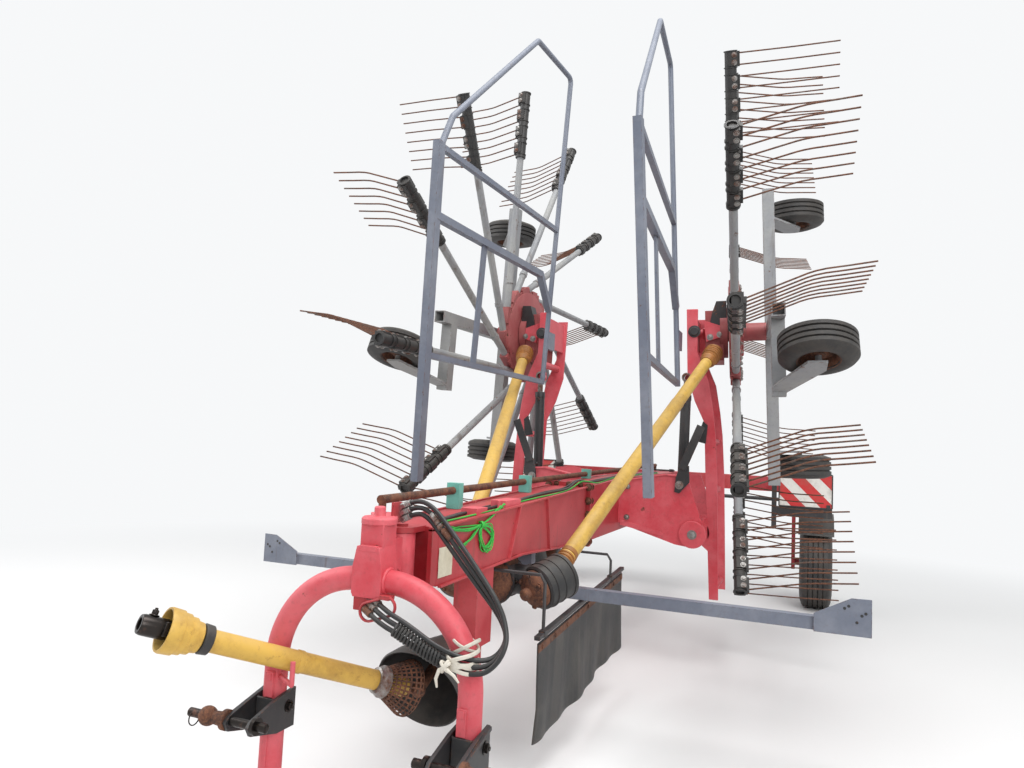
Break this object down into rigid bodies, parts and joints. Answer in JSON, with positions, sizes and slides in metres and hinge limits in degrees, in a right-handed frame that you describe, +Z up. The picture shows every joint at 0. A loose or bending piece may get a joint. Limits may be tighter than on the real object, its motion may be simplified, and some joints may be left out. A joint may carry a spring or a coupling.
{
  "type": "twin-rotor rotary rake",
  "caption": "Trailed twin-rotor hay rake folded for the road, with arch hitch, steered rear axle, folding booms, guards and a side swath curtain.",
  "frame": {"origin": "on the floor, under the middle of the machine's outer box", "axes": "+X to the right seen from the front, +Y rearwards along the main beam, +Z up"},
  "size_m": [3.0463, 6.0969, 3.8955],
  "materials": {
    "black_paint": "worn satin",
    "black_plastic": "weathered",
    "bright_steel": "worn",
    "curtain_cloth": "coated",
    "faded_red_paint": "chalky",
    "grey_paint": "worn satin",
    "hose_rubber": "satin",
    "red_paint": "worn gloss",
    "rusty_steel": "rusty",
    "rusty_tine": "rusty",
    "sign_sheet": "striped red and white",
    "turquoise_plastic": "satin",
    "tyre_rubber": "dusty",
    "yellow_guard": "weathered"
  },
  "bodies": {
    "frame": {"main_beam": "red_paint", "rear_beam": "red_paint", "boom_brackets": "red_paint", "jack": "red_paint", "gearbox": "rusty_steel", "gearbox_guard": "black_plastic", "cross_bar": "grey_paint", "curtain_rail": "black_paint", "curtain": "curtain_cloth", "rod_guides": "turquoise_plastic", "axle_beam": "red_paint", "sign_boards": "sign_sheet"},
    "headstock": {"arch": "faded_red_paint", "king_head": "faded_red_paint", "link_brackets": "black_paint", "hose_outer": "hose_rubber", "hose_middle": "hose_rubber", "hose_inner": "hose_rubber"},
    "front_shaft": {"front_shaft": "yellow_guard", "front_cone": "rusty_steel"},
    "steering_rod": {"steering_rod": "rusty_steel"},
    "steer_crank": {"steer_crank": "black_paint"},
    "tie_rod": {"tie_rod": "black_paint"},
    "knuckle_right": {"knuckle_right": "red_paint", "mudguard_right": "black_plastic"},
    "road_wheel_right": {"tyre_right": "tyre_rubber", "rim_right": "rusty_steel"},
    "boom_right": {"boom_right": "red_paint", "guard_right": "grey_paint"},
    "rotor_frame_right": {"rotor_head_right": "red_paint", "carriage_right": "grey_paint"},
    "rotor_right": {"rotor_hub_right": "red_paint", "rotor_tines_right": "rusty_tine"},
    "rotor_wheel_low_right": {"rotor_wheel_low_right": "tyre_rubber"},
    "rotor_wheel_high_right": {"rotor_wheel_high_right": "tyre_rubber"},
    "rotor_wheel_front_right": {"rotor_wheel_front_right": "tyre_rubber"},
    "drive_cross_right": {"drive_cross_right": "bright_steel"},
    "drive_outer_right": {"drive_outer_right": "yellow_guard"},
    "drive_inner_right": {"drive_inner_right": "yellow_guard"},
    "cylinder_barrel_right": {"cylinder_barrel_right": "black_paint"},
    "cylinder_rod_right": {"cylinder_rod_right": "bright_steel"},
    "knuckle_left": {"knuckle_left": "red_paint", "mudguard_left": "black_plastic"},
    "road_wheel_left": {"tyre_left": "tyre_rubber", "rim_left": "rusty_steel"},
    "boom_left": {"boom_left": "red_paint", "guard_left": "grey_paint"},
    "rotor_frame_left": {"rotor_head_left": "red_paint", "carriage_left": "grey_paint"},
    "rotor_left": {"rotor_hub_left": "red_paint", "rotor_tines_left": "rusty_tine"},
    "rotor_wheel_low_left": {"rotor_wheel_low_left": "tyre_rubber"},
    "rotor_wheel_high_left": {"rotor_wheel_high_left": "tyre_rubber"},
    "rotor_wheel_front_left": {"rotor_wheel_front_left": "tyre_rubber"},
    "drive_cross_left": {"drive_cross_left": "bright_steel"},
    "drive_outer_left": {"drive_outer_left": "yellow_guard"},
    "drive_inner_left": {"drive_inner_left": "yellow_guard"},
    "cylinder_barrel_left": {"cylinder_barrel_left": "black_paint"},
    "cylinder_rod_left": {"cylinder_rod_left": "bright_steel"}
  },
  "joints": [
    {"name": "headstock_steer", "type": "hinge", "parent": "frame", "child": "headstock", "pos_m": [0, -2.4665, 1.02], "axis": [0, 0, 1], "range_deg": [-35, 35]},
    {"name": "front_shaft_swing", "type": "hinge", "parent": "frame", "child": "front_shaft", "pos_m": [-0.028, -2.2325, 0.44], "axis": [0.1272, -0.0764, 0.9889], "range_deg": [-24, 24]},
    {"name": "steering_rod_slide", "type": "slide", "parent": "frame", "child": "steering_rod", "axis": [0, 0.9999, 0.0138], "range_m": [-0.06, 0.06]},
    {"name": "steer_crank_turn", "type": "hinge", "parent": "frame", "child": "steer_crank", "pos_m": [0.072, 2.2515, 1.133], "axis": [0, 0, 1], "range_deg": [-22, 22]},
    {"name": "tie_rod_slide", "type": "slide", "parent": "frame", "child": "tie_rod", "axis": [1, 0, 0], "range_m": [-0.08, 0.08]},
    {"name": "knuckle_steer_right", "type": "hinge", "parent": "frame", "child": "knuckle_right", "pos_m": [1.19, 2.6635, 1.065], "axis": [0, 0, 1], "range_deg": [-20, 20]},
    {"name": "road_wheel_spin_right", "type": "hinge", "parent": "knuckle_right", "child": "road_wheel_right", "pos_m": [1.3, 2.6635, 0.385], "axis": [1, 0, 0], "continuous": true},
    {"name": "fold_right", "type": "hinge", "parent": "frame", "child": "boom_right", "pos_m": [0.575, 0.5135, 0.815], "axis": [0, 1, 0], "range_deg": [0, 90]},
    {"name": "rotor_level_right", "type": "hinge", "parent": "boom_right", "child": "rotor_frame_right", "pos_m": [0.6, 0.5135, 2.132], "axis": [0, 0.4104, -0.9119], "range_deg": [-0.5, 6]},
    {"name": "rotor_spin_right", "type": "hinge", "parent": "rotor_frame_right", "child": "rotor_right", "pos_m": [0.76421, 0.52816, 2.1386], "axis": [0.9952, 0.0888, 0.04], "continuous": true},
    {"name": "rotor_wheel_low_spin_right", "type": "hinge", "parent": "rotor_frame_right", "child": "rotor_wheel_low_right", "pos_m": [1.17766, 1.02026, 1.25829], "axis": [-0.04, -0.0018, 0.9992], "continuous": true},
    {"name": "rotor_wheel_high_spin_right", "type": "hinge", "parent": "rotor_frame_right", "child": "rotor_wheel_high_right", "pos_m": [1.10547, 1.01704, 3.06285], "axis": [-0.04, -0.0018, 0.9992], "continuous": true},
    {"name": "rotor_wheel_front_spin_right", "type": "hinge", "parent": "rotor_frame_right", "child": "rotor_wheel_front_right", "pos_m": [1.27667, -0.38033, 1.90528], "axis": [-0.0679, 0.339, 0.9383], "continuous": true},
    {"name": "drive_swing_right", "type": "hinge", "parent": "frame", "child": "drive_cross_right", "pos_m": [0.215, -1.5565, 0.74], "axis": [0, 1, 0], "range_deg": [-5, 75]},
    {"name": "drive_tilt_right", "type": "hinge", "parent": "drive_cross_right", "child": "drive_outer_right", "pos_m": [0.215, -1.5565, 0.74], "axis": [0.9419, 0, -0.3359], "range_deg": [-2, 6]},
    {"name": "drive_slide_right", "type": "slide", "parent": "drive_outer_right", "child": "drive_inner_right", "axis": [0.1936, 0.8172, 0.5429], "range_m": [-0.01, 0.14]},
    {"name": "cylinder_swing_right", "type": "hinge", "parent": "frame", "child": "cylinder_barrel_right", "pos_m": [0.49, 0.2185, 1.115], "axis": [0, 1, 0], "range_deg": [-5, 106]},
    {"name": "cylinder_slide_right", "type": "slide", "parent": "cylinder_barrel_right", "child": "cylinder_rod_right", "axis": [0.0146, 0, 0.9999], "range_m": [-0.01, 0.42]},
    {"name": "knuckle_steer_left", "type": "hinge", "parent": "frame", "child": "knuckle_left", "pos_m": [-1.19, 2.6635, 1.065], "axis": [0, 0, 1], "range_deg": [-20, 20]},
    {"name": "road_wheel_spin_left", "type": "hinge", "parent": "knuckle_left", "child": "road_wheel_left", "pos_m": [-1.3, 2.6635, 0.385], "axis": [1, 0, 0], "continuous": true},
    {"name": "fold_left", "type": "hinge", "parent": "frame", "child": "boom_left", "pos_m": [-0.575, 0.5135, 0.815], "axis": [0, -1, 0], "range_deg": [0, 90]},
    {"name": "rotor_level_left", "type": "hinge", "parent": "boom_left", "child": "rotor_frame_left", "pos_m": [-0.6, 0.5135, 2.132], "axis": [0, -0.4104, 0.9119], "range_deg": [-0.5, 6]},
    {"name": "rotor_spin_left", "type": "hinge", "parent": "rotor_frame_left", "child": "rotor_left", "pos_m": [-0.76421, 0.52816, 2.1386], "axis": [0.9952, -0.0888, -0.04], "continuous": true},
    {"name": "rotor_wheel_low_spin_left", "type": "hinge", "parent": "rotor_frame_left", "child": "rotor_wheel_low_left", "pos_m": [-1.17766, 1.02026, 1.25829], "axis": [-0.04, 0.0018, -0.9992], "continuous": true},
    {"name": "rotor_wheel_high_spin_left", "type": "hinge", "parent": "rotor_frame_left", "child": "rotor_wheel_high_left", "pos_m": [-1.10547, 1.01704, 3.06285], "axis": [-0.04, 0.0018, -0.9992], "continuous": true},
    {"name": "rotor_wheel_front_spin_left", "type": "hinge", "parent": "rotor_frame_left", "child": "rotor_wheel_front_left", "pos_m": [-1.27667, -0.38033, 1.90528], "axis": [-0.0679, -0.339, -0.9383], "continuous": true},
    {"name": "drive_swing_left", "type": "hinge", "parent": "frame", "child": "drive_cross_left", "pos_m": [-0.215, -1.5565, 0.74], "axis": [0, -1, 0], "range_deg": [-5, 75]},
    {"name": "drive_tilt_left", "type": "hinge", "parent": "drive_cross_left", "child": "drive_outer_left", "pos_m": [-0.215, -1.5565, 0.74], "axis": [0.9419, 0, 0.3359], "range_deg": [-2, 6]},
    {"name": "drive_slide_left", "type": "slide", "parent": "drive_outer_left", "child": "drive_inner_left", "axis": [-0.1936, 0.8172, 0.5429], "range_m": [-0.01, 0.14]},
    {"name": "cylinder_swing_left", "type": "hinge", "parent": "frame", "child": "cylinder_barrel_left", "pos_m": [-0.49, 0.2185, 1.115], "axis": [0, -1, 0], "range_deg": [-5, 106]},
    {"name": "cylinder_slide_left", "type": "slide", "parent": "cylinder_barrel_left", "child": "cylinder_rod_left", "axis": [-0.0146, 0, 0.9999], "range_m": [-0.01, 0.42]}
  ],
  "couplings": [
    {"joint": "front_shaft_swing", "follows": "headstock_steer", "ratio": 0.62},
    {"joint": "steering_rod_slide", "follows": "headstock_steer", "m_per_rad": -0.078},
    {"joint": "steer_crank_turn", "follows": "headstock_steer", "ratio": 0.52},
    {"joint": "tie_rod_slide", "follows": "headstock_steer", "m_per_rad": -0.105},
    {"joint": "knuckle_steer_right", "follows": "headstock_steer", "ratio": -0.5},
    {"joint": "rotor_level_right", "follows": "fold_right", "ratio": 0.062107},
    {"joint": "drive_swing_right", "follows": "fold_right", "ratio": 0.77696},
    {"joint": "drive_tilt_right", "follows": "fold_right", "ratio": 0.044918},
    {"joint": "drive_slide_right", "follows": "fold_right", "m_per_rad": 0.077136},
    {"joint": "cylinder_swing_right", "follows": "fold_right", "ratio": 1.1227},
    {"joint": "cylinder_slide_right", "follows": "fold_right", "m_per_rad": 0.25995},
    {"joint": "knuckle_steer_left", "follows": "headstock_steer", "ratio": -0.5},
    {"joint": "rotor_level_left", "follows": "fold_left", "ratio": 0.062107},
    {"joint": "drive_swing_left", "follows": "fold_left", "ratio": 0.77696},
    {"joint": "drive_tilt_left", "follows": "fold_left", "ratio": 0.044918},
    {"joint": "drive_slide_left", "follows": "fold_left", "m_per_rad": 0.077136},
    {"joint": "cylinder_swing_left", "follows": "fold_left", "ratio": 1.1227},
    {"joint": "cylinder_slide_left", "follows": "fold_left", "m_per_rad": 0.25995}
  ]
}
